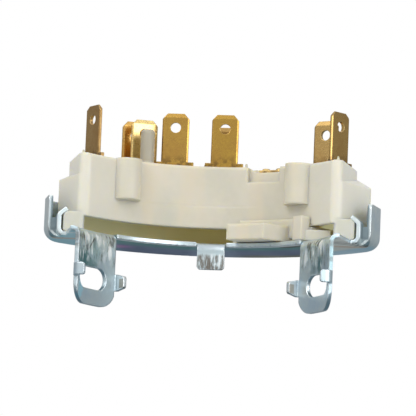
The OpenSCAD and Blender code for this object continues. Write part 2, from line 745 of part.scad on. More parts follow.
// Clearance of the foot edge from the folds of the end claws, the corners and the rim
module foot_chamfers() {
    cut = 2.6;
    lap_angle = asin(0.3 / plate_r);
    sweep_bearings(-corner_bearing - lap_angle, corner_bearing + lap_angle)
        translate([plate_r - wall_fold_out - 0.05, 0]) chamfer_section(cut);
    both_sides() {
        translate(corner_centre) rotate([0, 0, -end_wall_turn]) rotate_extrude(angle = 90 - corner_bearing + end_wall_turn)
            translate([end_corner_r - wall_fold_out - 0.12, 0]) chamfer_section(cut);
        along_end_wall(end_wall_reach - wall_fold_out - 0.05, claw_along + claw_w - 0.6, corner_along + 0.5)
            chamfer_section(cut);
        along_end_wall(end_wall_reach - claw_inset - fold_out - 0.1, -over, claw_along + claw_w)
            chamfer_section(fold_r);
    }
}

// Slopes on the tops of the feet, where the end claws' tips lie
module foot_slopes() {
    slack = 0.04;
    slope_l = 2;
    slope_reach = 3;
    foot_hold = foot_h - claw_drop;
    both_sides() rotate([0, 0, -end_wall_turn])
        translate([end_wall_reach - claw_inset - sheet_t - 0.4, claw_along - 0.2, foot_hold]) rotate([0, -end_claw_turn, 0])
            translate([0.4 - slack, 0, 0]) cube([slope_reach, claw_w + 0.6, slope_l]);
}

// Pockets in the back wall for the tips of the back claws
module claw_pockets() {
    both_sides() rotate([0, 0, -back_claw_bearing])
        translate([-claw_w / 2 - 0.25, plate_r - sheet_t - 0.4 - back_claw_tip_l - 0.05, end_wall_h + 0.6])
            cube([claw_w + 0.5, far, sheet_t + 0.5]);
}

// Room in the roof for a terminal's shank and contact plate
module terminal_room(r, bearing, turn, plates) {
    at = polar(r, bearing);
    translate([at[0], at[1], ceiling_z - over]) rotate([0, 0, turn])
        translate([-shank_w / 2 - fit_gap, -blade_t / 2 - fit_gap, 0])
            cube([shank_w + 2 * fit_gap, blade_t + 2 * fit_gap, roof_t + 2 * over]);
    for (p = plates) {
        slack = fit_gap / p[0] * 180 / PI;
        ring_part(p[0] - fit_gap, p[1] + fit_gap, ceiling_z - over, ceiling_z + contact_t + fit_gap,
            p[2] - slack, p[3] + slack);
    }
}

// Post on the roof that locates the plug
module post() {
    post_r = post_w / 2;
    top_r = 0.9;
    rotate([0, 0, -post_bearing]) translate([0, wall_r + post_out, housing_h - 0.1]) rotate_extrude() {
        square([post_r - top_r, post_h + 0.1]);
        square([post_r, post_h + 0.1 - top_r]);
        intersection() {
            translate([post_r - top_r, post_h + 0.1 - top_r]) circle(top_r);
            translate([post_r - top_r, post_h + 0.1 - top_r]) square(top_r);
        }
    }
}

// Notch over the feed link, with a ramp at its left side, and the pocket in the wall below it
module notch() {
    depth = link_out_r + 0.3 - wall_r + over;
    ring_part(wall_r - over, link_out_r + 0.3, notch_z, housing_h + over, notch_left - 0.3, notch_right);
    rotate([0, 0, -notch_left]) translate([0, wall_r - over, notch_z]) rotate([0, notch_slope, 0])
        translate([-5, 0, 0]) cube([5, depth, 3]);
    translate([0, 0, pocket_z]) linear_extrude(housing_h) polygon([polar(wall_r - over, notch_left - 3.6),
        polar(wall_r + pocket_left_depth, notch_left - 3.6), polar(wall_r + pocket_right_depth, notch_right - 0.2),
        polar(wall_r - over, notch_right - 0.2)]);
}

// Shallow swelling of the concave wall between the foot and the parting line
module wall_swelling() {
    half = (band_right - band_left) / 2;
    chord = wall_r * sin(half);
    rise = wall_r * (1 - cos(half)) - band_t;
    arc_r = (chord * chord + rise * rise) / (2 * rise);
    rotate([0, 0, -(band_left + band_right) / 2]) translate([0, 0, window_h]) linear_extrude(band_h - window_h)
        difference() {
            circle(wall_r + 0.4, $fn = 180);
            translate([0, wall_r - band_t - arc_r]) circle(arc_r, $fn = 180);
            translate([-far, -far]) square([2 * far, far]);
        }
}

// Short sprue ends left on the roof
module sprues() {
    for (place = [[wall_r + 2.6, -56.2], [wall_r + 3.4, -4.2], [wall_r + 1.4, 12], [wall_r + 1.5, 57.5]])
        rotate([0, 0, -place[1]]) translate([0, place[0], housing_h - 0.2])
            cylinder(d1 = 0.8, d2 = 0.4, h = 1.1);
}

module housing() {
    color(nylon) {
        difference() {
            union() {
                difference() {
                    housing_body();
                    roof_edge(wall_r, 1);
                    roof_edge(back_r, -1);
                    notch();
                }
                both_sides() translate([wall_r * sin(rib_bearing), wall_r * cos(rib_bearing), rib_foot_z])
                    cylinder(r = rib_r, h = housing_h - rib_foot_z);
                wall_swelling();
            }
            cavity();
            foot_chamfers();
            foot_slopes();
            claw_pockets();
            terminal_room(start_feed_r, start_feed_bearing, start_feed_turn, start_feed_plates);
            terminal_room(start_relay_r, start_relay_bearing, start_relay_turn, start_relay_plates);
            terminal_room(backup_feed_r, backup_feed_bearing, 0, backup_feed_plates);
            terminal_room(backup_lamp_r, backup_lamp_bearing, 0, backup_lamp_plates);
            terminal_room(drive_feed_r, drive_feed_bearing, 0, drive_feed_plates);
            terminal_room(drive_signal_r, drive_signal_bearing, drive_signal_turn, drive_signal_plates);
            terminal_room(low_feed_r, low_feed_bearing, low_feed_turn, low_feed_plates);
            terminal_room(low_signal_r, low_signal_bearing, low_signal_turn, low_signal_plates);
            for (b = [link_left, link_right]) rotate([0, 0, -b]) translate([0, link_r, ceiling_z - over]) {
                cylinder(d = rivet_d + 2 * fit_gap, h = roof_t + 2 * over);
                cylinder(d = rivet_head_d + 2 * fit_gap, h = over + contact_t + fit_gap);
            }
        }
        post();
        sprues();
    }
}
housing();

// Shank, shoulders and blade, with the latch hole and bevelled edges and tip
module blade(r, bearing, turn, tip_z) {
    tip_in = 1.2;
    tip_drop = 1.4;
    bevel_h = 1;
    bevel_t = blade_t / 4;
    half = blade_w / 2;
    foot_z = housing_h + shoulder_h;
    at = polar(r, bearing);
    translate([at[0], at[1], 0]) rotate([0, 0, turn]) {
        intersection() {
            translate([0, blade_t / 2, 0]) rotate([90, 0, 0]) linear_extrude(blade_t) difference() {
                polygon([[-half, foot_z - 0.3], [half, foot_z - 0.3], [half, tip_z - tip_drop], [half - tip_in, tip_z],
                    [tip_in - half, tip_z], [-half, tip_z - tip_drop]]);
                translate([0, tip_z - blade_hole_drop]) circle(d = blade_hole_d);
            }
            translate([-shoulder_w, 0, 0]) rotate([90, 0, 90]) linear_extrude(2 * shoulder_w)
                polygon([[-blade_t, 0], [blade_t, 0], [blade_t, tip_z - bevel_h], [blade_t / 2, tip_z - bevel_h],
                    [blade_t / 5, tip_z], [-blade_t / 5, tip_z], [-blade_t / 2, tip_z - bevel_h],
                    [-blade_t, tip_z - bevel_h]]);
            linear_extrude(tip_z + over) polygon([[blade_bevel - half, -blade_t / 2], [half - blade_bevel, -blade_t / 2],
                [half, bevel_t - blade_t / 2], [half, blade_t / 2 - bevel_t], [half - blade_bevel, blade_t / 2],
                [blade_bevel - half, blade_t / 2], [-half, blade_t / 2 - bevel_t], [-half, bevel_t - blade_t / 2]]);
        }
        translate([0, blade_t / 2, 0]) rotate([90, 0, 0]) linear_extrude(blade_t) union() {
            translate([-shoulder_w / 2, housing_h]) square([shoulder_w, shoulder_h]);
            translate([-shank_w / 2, ceiling_z + contact_t / 2]) square([shank_w, roof_t]);
        }
    }
}

// Contact plates flush with the ceiling
module contact_plates(plates) {
    for (p = plates) ring_part(p[0], p[1], ceiling_z, ceiling_z + contact_t, p[2], p[3]);
}

module start_feed_terminal() {
    color(brass) {
        blade(start_feed_r, start_feed_bearing, start_feed_turn, front_tip_z);
        difference() {
            contact_plates(start_feed_plates);
            rotate([0, 0, -link_right]) translate([0, link_r, 0]) cylinder(d = rivet_head_d + 2 * fit_gap, h = housing_h);
        }
    }
}
start_feed_terminal();

module start_relay_terminal() {
    color(brass) {
        blade(start_relay_r, start_relay_bearing, start_relay_turn, back_tip_z);
        contact_plates(start_relay_plates);
    }
}
start_relay_terminal();

module backup_feed_terminal() {
    color(brass) {
        blade(backup_feed_r, backup_feed_bearing, 0, front_tip_z);
        contact_plates(backup_feed_plates);
    }
}
backup_feed_terminal();

module backup_lamp_terminal() {
    color(brass) {
        blade(backup_lamp_r, backup_lamp_bearing, 0, back_tip_z);
        contact_plates(backup_lamp_plates);
    }
}
backup_lamp_terminal();

module drive_feed_terminal() {
    color(brass) {
        blade(drive_feed_r, drive_feed_bearing, 0, front_tip_z);
        contact_plates(drive_feed_plates);
    }
}
drive_feed_terminal();

module drive_signal_terminal() {
    color(brass) {
        blade(drive_signal_r, drive_signal_bearing, drive_signal_turn, back_tip_z);
        contact_plates(drive_signal_plates);
    }
}
drive_signal_terminal();

module low_feed_terminal() {
    color(brass) {
        blade(low_feed_r, low_feed_bearing, low_feed_turn, front_tip_z);
        contact_plates(low_feed_plates);
    }
}
low_feed_terminal();

module low_signal_terminal() {
    color(brass) {
        blade(low_signal_r, low_signal_bearing, low_signal_turn, back_tip_z);
        contact_plates(low_signal_plates);
    }
}
low_signal_terminal();

// Strip on the roof, behind the notch, that the two rivets hold
module feed_link() {
    color(brass) difference() {
        ring_part(link_r - link_w / 2, link_out_r, notch_z, link_top_z, link_left - 1.9, link_right + 2.4);
        for (b = [link_left, link_right]) rotate([0, 0, -b]) translate([0, link_r, 0])
            cylinder(d = rivet_d + 2 * fit_gap, h = far);
    }
}
feed_link();

// Rivet through the strip and the roof, with a head above and one flush with the ceiling
module feed_link_rivet(bearing) {
    rotate([0, 0, -bearing]) translate([0, link_r, 0]) {
        translate([0, 0, ceiling_z]) cylinder(d = rivet_d, h = link_top_z - ceiling_z);
        translate([0, 0, ceiling_z]) cylinder(d = rivet_head_d, h = contact_t);
        translate([0, 0, link_top_z]) cylinder(d1 = rivet_head_d, d2 = rivet_head_d - 0.9, h = rivet_head_h);
    }
}

module feed_link_rivet_left() {
    color(brass) feed_link_rivet(link_left);
}
feed_link_rivet_left();

module feed_link_rivet_right() {
    color(brass) feed_link_rivet(link_right);
}
feed_link_rivet_right();

// Tower on the carrier, with a slot for the bridge and a bore for its spring
module tower(bearing) {
    rotate([0, 0, -bearing]) difference() {
        translate([-tower_w / 2, tower_in_r, sole_h - 0.5])
            cube([tower_w, tower_out_r - tower_in_r, tower_h - sole_h + 0.5]);
        translate([-bridge_w / 2 - 0.1, tower_in_r - over, strip_z - 1])
            cube([bridge_w + 0.2, tower_out_r - tower_in_r + 2 * over, tower_h]);
        translate([0, spring_at, spring_foot_z]) cylinder(d = spring_d + 0.4, h = tower_h);
    }
}

// Plan of the drive lug, with its flank running back to the sole
module lug_outline() {
    nose = polar(lug_r, lug_nose);
    flank_end = polar(wall_r + 0.3, flank_bearing);
    difference() {
        polygon([polar(lug_r - over, lug_start - 0.4), polar(seat_r, lug_back_start), polar(wall_r - 0.3, lug_back_start),
            polar(wall_r - 0.3, lug_nose), flank_end, nose + (nose - flank_end) / 4]);
        circle(lug_r, $fn = 180);
    }
}

module carrier() {
    color(nylon) {
        intersection() {
            ring_part(sole_in_r, sole_out_r, running_gap, running_gap + sole_h, lug_start, sole_end);
            linear_extrude(far) inside_end(right_upper_turn, end_reach(right_upper_turn) - end_wall_t - 0.5);
        }
        ring_part(lip_in_r, lip_out_r, running_gap + 1, lip_h, lip_start, lip_end);
        ring_part(lip_in_r + 0.06, sole_in_r + 0.8, running_gap + 1.06, running_gap + sole_h - 0.06,
            lip_start + 0.2, lip_end - 0.2);
        translate([0, 0, lug_bottom_z]) linear_extrude(sole_h - 0.01) lug_outline();
        translate([0, 0, running_gap + 1]) linear_extrude(lug_top_z - running_gap - 1) intersection() {
            lug_outline();
            circle(lip_out_r - 0.01, $fn = 180);
        }
        ring_part(pillar_in_r, lip_out_r - 0.1, running_gap + 0.1, pillar_h, pillar_left, pillar_right);
        translate(polar(lip_out_r - 0.7, pillar_right - 1.2)) translate([0, -arm_w / 2, running_gap + 0.15])
            cube([arm_l, arm_w, arm_h - running_gap - 0.15]);
        tower(start_bridge_bearing);
        tower(selector_bridge_bearing);
    }
}
carrier();

// Bronze strip with the seats of its two buttons
module bridge_strip(bearing) {
    rotate([0, 0, -bearing]) translate([0, 0, strip_z]) linear_extrude(bridge_t) difference() {
        union() {
            translate([-bridge_w / 2, strip_in_r + 0.6]) square([bridge_w, strip_out_r - strip_in_r - 1.2]);
            translate([0.6 - bridge_w / 2, strip_in_r]) square([bridge_w - 1.2, strip_out_r - strip_in_r]);
            for (x = [-1, 1], y = [strip_in_r + 0.6, strip_out_r - 0.6])
                translate([x * (bridge_w / 2 - 0.6), y]) circle(0.6);
        }
        for (y = [inner_path_r, outer_path_r]) translate([0, y]) circle(d = button_d / 2 + 2 * fit_gap);
    }
}

// Two contact buttons with their shanks through the strip
module bridge_buttons(bearing) {
    edge = 0.3;
    rotate([0, 0, -bearing]) for (y = [inner_path_r, outer_path_r]) translate([0, y, 0]) rotate_extrude() {
        translate([0, strip_z]) square([button_d / 4, bridge_t + 0.1]);
        translate([0, strip_top_z]) square([button_d / 2, button_h - edge]);
        translate([0, strip_top_z]) square([button_d / 2 - edge, button_h]);
        translate([button_d / 2 - edge, button_top_z - edge]) intersection() {
            circle(edge);
            square(edge);
        }
    }
}

// Coil spring between the tower's floor and the strip
module bridge_spring(bearing) {
    steps = 12;
    coil_r = (spring_d - spring_wire_d) / 2;
    foot_z = spring_foot_z + spring_wire_d / 2;
    rise = strip_z - spring_foot_z - spring_wire_d;
    rotate([0, 0, -bearing]) translate([0, spring_at, foot_z])
        for (i = [0 : steps * spring_turns - 1]) hull() for (k = [i, i + 1])
            rotate([0, 0, 360 * k / steps]) translate([coil_r, 0, rise * k / (steps * spring_turns)])
                rotate([90, 0, 0]) cylinder(d = spring_wire_d, h = 0.01, center = true, $fn = 6);
}

module start_bridge() {
    color(bronze) bridge_strip(start_bridge_bearing);
}
start_bridge();

module selector_bridge() {
    color(bronze) bridge_strip(selector_bridge_bearing);
}
selector_bridge();

module start_bridge_buttons() {
    color(silver) bridge_buttons(start_bridge_bearing);
}
start_bridge_buttons();

module selector_bridge_buttons() {
    color(silver) bridge_buttons(selector_bridge_bearing);
}
selector_bridge_buttons();

module start_spring() {
    color(steel_wire) bridge_spring(start_bridge_bearing);
}
start_spring();

module selector_spring() {
    color(steel_wire) bridge_spring(selector_bridge_bearing);
}
selector_spring();
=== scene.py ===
import bmesh
import bpy
import math
from mathutils import Matrix, Vector


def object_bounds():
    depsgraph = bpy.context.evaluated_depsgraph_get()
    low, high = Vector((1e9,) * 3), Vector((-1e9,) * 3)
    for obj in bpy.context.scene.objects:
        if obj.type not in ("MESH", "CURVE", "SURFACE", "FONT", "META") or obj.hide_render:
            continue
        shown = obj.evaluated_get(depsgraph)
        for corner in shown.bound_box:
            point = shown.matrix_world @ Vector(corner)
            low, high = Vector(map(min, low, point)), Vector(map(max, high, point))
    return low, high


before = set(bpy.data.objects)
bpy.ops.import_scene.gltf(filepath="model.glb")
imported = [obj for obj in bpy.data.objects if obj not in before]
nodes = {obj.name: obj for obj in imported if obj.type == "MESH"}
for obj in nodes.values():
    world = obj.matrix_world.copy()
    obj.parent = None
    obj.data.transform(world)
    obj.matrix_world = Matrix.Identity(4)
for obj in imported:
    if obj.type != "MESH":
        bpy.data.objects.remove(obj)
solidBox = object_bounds()
print("loaded", len(nodes), "solids")

numberSocket = "NodeSocketFloat"
vectorSocket = "NodeSocketVector"
noiseMiddle = 0.5


def addNode(tree, kind, **settings):
    made = tree.nodes.new(kind)
    for name, value in settings.items():
        setattr(made, name, value)
    return made


def feed(tree, node, socket, value):
    # a value is a number, a colour or another node's socket
    target = node.inputs[socket]
    if isinstance(value, bpy.types.NodeSocket):
        tree.links.new(value, target)
    elif hasattr(value, "__len__") and len(value) == 3 and target.type == "RGBA":
        target.default_value = (*value, 1)
    else:
        target.default_value = value


def newGroup(name, inputs, outputs):
    group = bpy.data.node_groups.new(name, "ShaderNodeTree")
    for label, start in inputs.items():
        socket = group.interface.new_socket(label, in_out="INPUT", socket_type=numberSocket)
        socket.default_value = start
    for label, kind in outputs.items():
        group.interface.new_socket(label, in_out="OUTPUT", socket_type=kind)
    return group, group.nodes.new("NodeGroupInput").outputs, group.nodes.new("NodeGroupOutput")


def useGroup(tree, group, **values):
    made = tree.nodes.new("ShaderNodeGroup")
    made.node_tree = group
    for label, value in values.items():
        feed(tree, made, label, value)
    return made.outputs


def maths(tree, operation, a, b=0.0):
    made = addNode(tree, "ShaderNodeMath", operation=operation)
    feed(tree, made, 0, a)
    feed(tree, made, 1, b)
    return made.outputs[0]


def product(tree, first, *others):
    for other in others:
        first = maths(tree, "MULTIPLY", first, other)
    return first


def mapRange(tree, value, low, high, toLow=0.0, toHigh=1.0):
    # a soft step up from low to high, or down where low is the larger one
    made = addNode(tree, "ShaderNodeMapRange", interpolation_type="SMOOTHSTEP")
    feed(tree, made, "Value", value)
    feed(tree, made, "From Min", low)
    feed(tree, made, "From Max", high)
    feed(tree, made, "To Min", toLow)
    feed(tree, made, "To Max", toHigh)
    return made.outputs["Result"]


def between(tree, value, rise, fall):
    # 1 between two soft steps, 0 outside
    return product(tree, mapRange(tree, value, *rise), mapRange(tree, value, *fall))


def mixColours(tree, factor, a, b):
    # sockets 6 and 7 are the Mix node's two colours, and output 2 their mix
    made = addNode(tree, "ShaderNodeMix", data_type="RGBA")
    feed(tree, made, 0, factor)
    feed(tree, made, 6, a)
    feed(tree, made, 7, b)
    return made.outputs[2]


def mixNumbers(tree, factor, a, b):
    made = addNode(tree, "ShaderNodeMix", data_type="FLOAT")
    feed(tree, made, 0, factor)
    feed(tree, made, 2, a)
    feed(tree, made, 3, b)
    return made.outputs[0]


def noise(tree, place, scale, detail=3.0, roughness=0.5):
    made = addNode(tree, "ShaderNodeTexNoise")
    feed(tree, made, "Vector", place)
    feed(tree, made, "Scale", scale)
    feed(tree, made, "Detail", detail)
    feed(tree, made, "Roughness", roughness)
    return made.outputs["Fac"]


def evenNoise(tree, place, scale, detail):
    # noise about zero
    return maths(tree, "SUBTRACT", noise(tree, place, scale, detail), noiseMiddle)


def objectPlace(tree):
    return addNode(tree, "ShaderNodeTexCoord").outputs["Object"]


def splitPlace(tree, place):
    apart = addNode(tree, "ShaderNodeSeparateXYZ")
    feed(tree, apart, "Vector", place)
    return apart.outputs


def bearingOf(tree, apart):
    # turn about the column in radians, 0 at the middle and growing to the right
    return maths(tree, "ARCTAN2", apart["X"], apart["Y"])


def columnDistance(tree, apart):
    squares = [product(tree, apart[axis], apart[axis]) for axis in ("X", "Y")]
    return maths(tree, "SQRT", maths(tree, "ADD", *squares))


edgeWearLook = {
    "samples": 6,
    "patchScale": 900.0,
    "patchShare": 0.1,
    "worn": (0.02, 0.12),
}


def makeEdgeWear():
    # bright where a corner is rounded off by the bevel normal
    look = edgeWearLook
    group, given, out = newGroup("edge wear", {"Width": 0.0002, "Unevenness": 0.4},
                                 {"Mask": numberSocket, "Normal": vectorSocket})
    bevel = addNode(group, "ShaderNodeBevel", samples=look["samples"])
    feed(group, bevel, "Radius", given["Width"])
    shape = addNode(group, "ShaderNodeNewGeometry")
    facing = addNode(group, "ShaderNodeVectorMath", operation="DOT_PRODUCT")
    feed(group, facing, 0, bevel.outputs["Normal"])
    feed(group, facing, 1, shape.outputs["True Normal"])
    away = maths(group, "SUBTRACT", 1.0, facing.outputs["Value"])
    patch = evenNoise(group, objectPlace(group), look["patchScale"], detail=2.0)
    offset = product(group, patch, given["Unevenness"], look["patchShare"])
    feed(group, out, "Mask", mapRange(group, maths(group, "ADD", away, offset), *look["worn"]))
    feed(group, out, "Normal", bevel.outputs["Normal"])
    return group


grainLook = {
    "coarseScale": 0.16,
    "coarseShare": 1.6,
    "roughness": 0.6,
}


def makeGrain():
    # fine pitting of a moulded or plated skin
    look = grainLook
    group, given, out = newGroup("grain", {"Scale": 3000.0}, {"Height": numberSocket})
    place = objectPlace(group)
    fine = noise(group, place, given["Scale"], detail=2.0, roughness=look["roughness"])
    coarse = noise(group, place, product(group, given["Scale"], look["coarseScale"]), detail=2.0)
    feed(group, out, "Height", maths(group, "ADD", fine, product(group, coarse, look["coarseShare"])))
    return group


stainsLook = {
    "broadShare": 0.75,
    "broadRoughness": 0.55,
    "fineScale": 5.0,
    "fineShare": 0.25,
    "fineRoughness": 0.6,
    "bareLevel": 0.75,
    "coverStep": 0.5,
}


def makeStains():
    # soft clouds at two sizes, 0 clean and 1 stained
    look = stainsLook
    group, given, out = newGroup("stains", {"Scale": 120.0, "Cover": 0.5, "Softness": 0.2},
                                 {"Mask": numberSocket})
    place = objectPlace(group)
    broad = noise(group, place, given["Scale"], detail=4.0, roughness=look["broadRoughness"])
    fineScale = product(group, given["Scale"], look["fineScale"])
    fine = noise(group, place, fineScale, detail=3.0, roughness=look["fineRoughness"])
    broad = product(group, broad, look["broadShare"])
    fine = product(group, fine, look["fineShare"])
    both = maths(group, "ADD", broad, fine)
    level = maths(group, "SUBTRACT", look["bareLevel"], product(group, given["Cover"], look["coverStep"]))
    low = maths(group, "SUBTRACT", level, given["Softness"])
    high = maths(group, "ADD", level, given["Softness"])
    feed(group, out, "Mask", mapRange(group, both, low, high))
    return group


spotLook = {
    "earRadius": 0.0294,
    "raggedScale": 1300.0,
    "raggedShare": 1.1,
    "edge": (1.1, 0.15),
}


def makeSpot():
    # one soft uneven spot, placed by its bearing about the column in radians and its height
    look = spotLook
    inputs = {"Bearing": 0.0, "Height": 0.0, "Wide": 0.001, "Tall": 0.001, "Lean": 0.0}
    group, given, out = newGroup("spot", inputs, {"Mask": numberSocket})
    place = objectPlace(group)
    apart = splitPlace(group, place)
    turn = maths(group, "SUBTRACT", bearingOf(group, apart), given["Bearing"])
    along = product(group, turn, look["earRadius"])
    up = maths(group, "SUBTRACT", apart["Z"], given["Height"])
    along = maths(group, "SUBTRACT", along, product(group, up, given["Lean"]))
    along = maths(group, "DIVIDE", along, given["Wide"])
    up = maths(group, "DIVIDE", up, given["Tall"])
    away = maths(group, "ADD", product(group, along, along), product(group, up, up))
    ragged = product(group, evenNoise(group, place, look["raggedScale"], detail=3.0), look["raggedShare"])
    feed(group, out, "Mask", mapRange(group, maths(group, "ADD", away, ragged), *look["edge"]))
    return group


edgeWear = makeEdgeWear()
grain = makeGrain()
stains = makeStains()
spot = makeSpot()
print("shared effects made")


def newMaterial(name):
    material = bpy.data.materials.new(name)
    material.use_nodes = True
    tree = material.node_tree
    return material, tree, tree.nodes["Principled BSDF"]


def addBump(tree, shader, height, strength, distance, normal):
    bump = addNode(tree, "ShaderNodeBump")
    feed(tree, bump, "Height", height)
    feed(tree, bump, "Strength", strength)
    feed(tree, bump, "Distance", distance)
    feed(tree, bump, "Normal", normal)
    feed(tree, shader, "Normal", bump.outputs["Normal"])


def addRoughness(tree, cloud, look):
    # rougher where the clouds of stain lie
    return mapRange(tree, cloud, 0.0, 1.0, look["roughness"], look["roughness"] + look["roughnessSpread"])


def cylinderPlace(tree, apart, alongScale, upScale):
    # distance along the column's surface and height, each with its own stretch
    columnRadius = 0.03
    made = addNode(tree, "ShaderNodeCombineXYZ")
    feed(tree, made, "X", product(tree, bearingOf(tree, apart), columnRadius * alongScale))
    feed(tree, made, "Y", product(tree, apart["Z"], upScale))
    return made.outputs["Vector"]


nylonLook = {
    "body": (0.650, 0.612, 0.520),
    "shade": (0.565, 0.548, 0.458),
    "warm": (0.660, 0.595, 0.470),
    "ends": (0.735, 0.725, 0.655),
    "feet": (0.600, 0.597, 0.525),
    "shadeAboveRoof": (0.42, 0.39, 0.31),
    "inside": (0.88, 0.80, 0.40),
    "glowLeft": (0.052, 0.056, 0.054),
    "glowRight": (0.032, 0.020, 0.005),
    "glowEnd": (0.18, 0.205, 0.155),
    "dirt": (0.30, 0.26, 0.15),
    "dirtShare": 0.4,
    "endLightShare": 0.75,
    "flow": (0.45, 0.7),
    "flowShare": 0.8,
    "flowScale": 170.0,
    "flowStretch": 0.12,
    "cloud": {"Scale": 90.0, "Cover": 0.45, "Softness": 0.25},
    "specks": {"Scale": 700.0, "Cover": -0.02, "Softness": 0.05},
    "grainScale": 2600.0,
    "grainStrength": 0.5,
    "grainHeight": 0.000012,
    "roughness": 0.40,
    "roughnessSpread": 0.12,
    "edgeWidth": 0.00070,
    "through": 0.70,
    "throughColour": (1.0, 0.83, 0.38),
    "throughDepth": 0.0018,
}

# where the tones of the nylon change, in metres to the side or above the plate
nylonZones = {
    "ends": (0.016, 0.033),
    "feet": (0.0285, 0.0300),
    "feetTop": (0.0056, 0.0048),
    "roof": (0.0185, 0.0195),
    "glow": (-0.028, -0.006),
    "carrierEnd": (0.0253, 0.0262),
}

# the housing's hollow: distances of its walls from the column's axis, height of the roof, and the foremost Y;
# each end has its side, its turn in degrees and how far out its inside face lies
hollow = {
    "frontWall": (0.0349, 0.0353),
    "backWall": (0.0476, 0.0472),
    "roof": (0.0166, 0.0162),
    "foremost": 0.0197,
    "ends": ((1.0, 10.1, 0.0257), (-1.0, 15.3, 0.0235)),
}


def insideMask(tree, apart, lowest):
    # 1 in the hollow under the roof and above the lowest height, between the walls and the two ends
    mask = product(
        tree, between(tree, columnDistance(tree, apart), hollow["frontWall"], hollow["backWall"]),
        mapRange(tree, apart["Z"], *hollow["roof"]),
        maths(tree, "GREATER_THAN", apart["Z"], lowest),
        maths(tree, "GREATER_THAN", apart["Y"], hollow["foremost"]))
    for side, turn, reach in hollow["ends"]:
        outward = product(tree, apart["X"], side * math.cos(math.radians(turn)))
        inward = product(tree, apart["Y"], math.sin(math.radians(turn)))
        across = maths(tree, "SUBTRACT", outward, inward)
        mask = product(tree, mask, maths(tree, "LESS_THAN", across, reach))
    return mask


def makeNylon(name, lowest, endGlow):
    look, zones = nylonLook, nylonZones
    material, tree, shader = newMaterial(name)
    apart = splitPlace(tree, objectPlace(tree))
    sideways = maths(tree, "ABSOLUTE", apart["X"])
    cloud = useGroup(tree, stains, **look["cloud"])["Mask"]
    colour = mixColours(tree, cloud, look["body"], look["shade"])
    flowPlace = cylinderPlace(tree, apart, 1.0, look["flowStretch"])
    flow = noise(tree, flowPlace, look["flowScale"], detail=2.0)
    warmth = mapRange(tree, flow, *look["flow"], 0.0, look["flowShare"])
    colour = mixColours(tree, warmth, colour, look["warm"])
    # painted light: towards both ends the nylon is painted paler, lighting the end walls where the wall turns
    # away from the lamps
    paintedEndLight = mapRange(tree, sideways, *zones["ends"], 0.0, look["endLightShare"])
    colour = mixColours(tree, paintedEndLight, colour, look["ends"])
    # painted shade: the housing's feet at both ends are painted darker
    paintedFootShade = product(tree, mapRange(tree, sideways, *zones["feet"]),
                       mapRange(tree, apart["Z"], *zones["feetTop"]))
    colour = mixColours(tree, paintedFootShade, colour, look["feet"])
    # painted shade: the nylon above the roof, such as the post between the blades, is painted dark
    colour = mixColours(tree, mapRange(tree, apart["Z"], *zones["roof"]), colour, look["shadeAboveRoof"])
    specks = useGroup(tree, stains, **look["specks"])["Mask"]
    colour = mixColours(tree, product(tree, specks, look["dirtShare"]), colour, look["dirt"])
    # painted light: inside the hollow the nylon is painted a bright yellow, standing in for light let through
    # the walls and bounced about the hollow
    inside = insideMask(tree, apart, lowest)
    colour = mixColours(tree, inside, colour, look["inside"])
    # painted glow: the hollow also glows by emission, in place of the daylight that the thin walls let
    # through into it
    glow = mixColours(tree, mapRange(tree, apart["X"], *zones["glow"]), look["glowLeft"], look["glowRight"])
    glow = mixColours(tree, mapRange(tree, apart["X"], *zones["carrierEnd"]), glow, endGlow)
    feed(tree, shader, "Emission Color", glow)
    feed(tree, shader, "Emission Strength", inside)
    feed(tree, shader, "Base Color", colour)
    feed(tree, shader, "Roughness", addRoughness(tree, cloud, look))
    shader.inputs["Subsurface Weight"].default_value = look["through"]
    shader.inputs["Subsurface Radius"].default_value = look["throughColour"]
    shader.inputs["Subsurface Scale"].default_value = look["throughDepth"]
    edges = useGroup(tree, edgeWear, Width=look["edgeWidth"])
    skin = useGroup(tree, grain, Scale=look["grainScale"])
    addBump(tree, shader, skin["Height"], look["grainStrength"], look["grainHeight"], edges["Normal"])
    return material


zincLook = {
    "grey": (0.70, 0.78, 0.81),
    "wall": (0.86, 0.90, 0.89),
    "teal": (0.42, 0.62, 0.68),
    "tealShare": 0.5,
    "blue": (0.46, 0.63, 0.80),
    "blueShare": 0.45,
    "deepTealShade": (0.14, 0.30, 0.31),
    "lowerTeal": (0.20, 0.31, 0.31),
    "lowerBlue": (0.24, 0.27, 0.34),
    "lowerPlum": (0.42, 0.27, 0.44),
    "lowerStraw": (0.30, 0.29, 0.24),
    "strawShare": 0.8,
    "leftEndReflection": (0.46, 0.86, 0.97),
    "rightEndReflection": (0.97, 0.98, 0.90),
    "rightBlueReflection": (0.58, 0.86, 1.0),
    "slotGlow": (0.50, 0.86, 1.0),
    "shaded": (0.48, 0.54, 0.60),
    "rust": (0.74, 0.52, 0.36),
    "rustShare": 0.75,
    "bare": (0.92, 0.95, 0.97),
    "scratch": (0.15, 0.16, 0.15),
    "grooveShare": 0.75,
    "scored": (0.21, 0.18, 0.15),
    "scoredShare": 0.85,
    "streakShare": 0.8,
    "wornShare": 0.6,
    "tabShare": 0.8,
    "recess": (0.46, 0.40, 0.31),
    "edgeShare": 0.65,
    "web": (0.26, 0.33, 0.36),
    "webShare": 0.9,
    "webRoughness": 0.40,
    "grazing": (1.0, 1.0, 1.0),
    "paintedReflectionLift": 2.6,
    "scuffDullness": 0.7,
    "roughness": 0.30,
    "roughnessSpread": 0.12,
    "film": {"Scale": 60.0, "Cover": 0.5, "Softness": 0.3},
    "tint": {"Scale": 150.0, "Cover": 0.40, "Softness": 0.15},
    "edgeWidth": 0.00040,
    "edgeUnevenness": 0.8,
    "grainScale": 1500.0,
    "grainStrength": 0.5,
    "grainHeight": 0.00001,
    "drawHeight": 0.00012,
}
